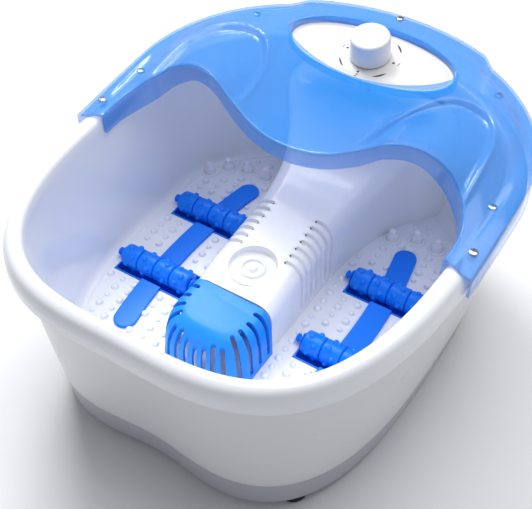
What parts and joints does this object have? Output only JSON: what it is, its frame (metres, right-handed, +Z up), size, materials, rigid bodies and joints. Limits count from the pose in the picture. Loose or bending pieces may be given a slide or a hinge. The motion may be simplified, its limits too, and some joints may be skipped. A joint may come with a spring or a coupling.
{
  "type": "foot spa basin",
  "caption": "Foot spa basin with nubbed foot wells, air console with lift-off filter cap, massage rollers, tinted splash guard and rotary switch.",
  "frame": {"origin": "centre of the footprint, at the level the rubber feet stand on", "axes": "+Z up, +Y towards the control panel (the user's toes), +X to the user's right"},
  "size_m": [0.326, 0.3871, 0.2053],
  "materials": {
    "white_abs": "gloss moulded",
    "casing_abs": "gloss moulded",
    "base_abs": "satin moulded",
    "rubber": "matte",
    "zinc_steel": "zinc plated",
    "tinted_guard": "tinted, see-through, polished",
    "panel_plate": "satin printed plate",
    "black_plastic": "satin moulded",
    "brass": "turned",
    "blue_abs": "gloss moulded",
    "cap_abs": "gloss moulded",
    "lens": "translucent moulded",
    "lamp_glass": "clear glass",
    "ceramic": "unglazed",
    "aluminium": "rolled",
    "motor_steel": "drawn",
    "cast_weight": "as cast",
    "grey_plastic": "moulded",
    "hose": "silicone",
    "lead_red": "pvc insulation",
    "lead_blue": "pvc insulation"
  },
  "bodies": {
    "spa": {"tub": "white_abs", "outer_casing": "casing_abs", "base_shell": "base_abs", "rubber_feet": "rubber", "base_screws": "zinc_steel", "splash_guard": "tinted_guard", "guard_screws": "zinc_steel", "control_panel": "panel_plate", "switch_body": "black_plastic", "switch_nut": "zinc_steel", "massage_strip_left": "blue_abs", "massage_strip_right": "blue_abs", "lamp_lens": "lens", "infrared_lamp": "lamp_glass", "lamp_holder": "ceramic", "heater_plate": "aluminium", "thermostat": "ceramic", "thermal_fuse": "zinc_steel", "motor_can": "motor_steel", "blower_housing": "black_plastic", "blower_cover": "black_plastic", "motor_bracket": "motor_steel", "rubber_mounts": "rubber", "air_hose": "hose", "air_manifold": "grey_plastic", "terminal_block": "grey_plastic", "cord_gland": "rubber", "motor_lead": "lead_red", "heater_lead": "lead_blue"},
    "knob": {"control_knob": "white_abs", "switch_shaft": "brass"},
    "roller_fl": {"roller_front_left": "blue_abs"},
    "roller_fr": {"roller_front_right": "blue_abs"},
    "roller_rl": {"roller_rear_left": "blue_abs"},
    "roller_rr": {"roller_rear_right": "blue_abs"},
    "cap": {"filter_cap": "cap_abs"},
    "rotor": {"motor_shaft": "motor_steel", "eccentric_weight": "cast_weight", "blower_impeller": "grey_plastic"}
  },
  "joints": [
    {"name": "knob_turn", "type": "hinge", "parent": "spa", "child": "knob", "pos_m": [0, 0.135, 0.182], "axis": [0, -0.184, 0.9829], "range_deg": [-270, 0]},
    {"name": "roller_fl_spin", "type": "hinge", "parent": "spa", "child": "roller_fl", "pos_m": [-0.0855, -0.047, 0.05], "axis": [1, 0, 0], "continuous": true},
    {"name": "roller_fr_spin", "type": "hinge", "parent": "spa", "child": "roller_fr", "pos_m": [0.0855, -0.047, 0.05], "axis": [1, 0, 0], "continuous": true},
    {"name": "roller_rl_spin", "type": "hinge", "parent": "spa", "child": "roller_rl", "pos_m": [-0.0855, 0.0305, 0.05], "axis": [1, 0, 0], "continuous": true},
    {"name": "roller_rr_spin", "type": "hinge", "parent": "spa", "child": "roller_rr", "pos_m": [0.0855, 0.0305, 0.05], "axis": [1, 0, 0], "continuous": true},
    {"name": "rotor_spin", "type": "hinge", "parent": "spa", "child": "rotor", "pos_m": [0, 0.1, 0.052], "axis": [0, 1, 0], "continuous": true},
    {"name": "cap_lift", "type": "slide", "parent": "spa", "child": "cap", "axis": [0, 0, 1], "range_m": [0, 0.06]}
  ]
}
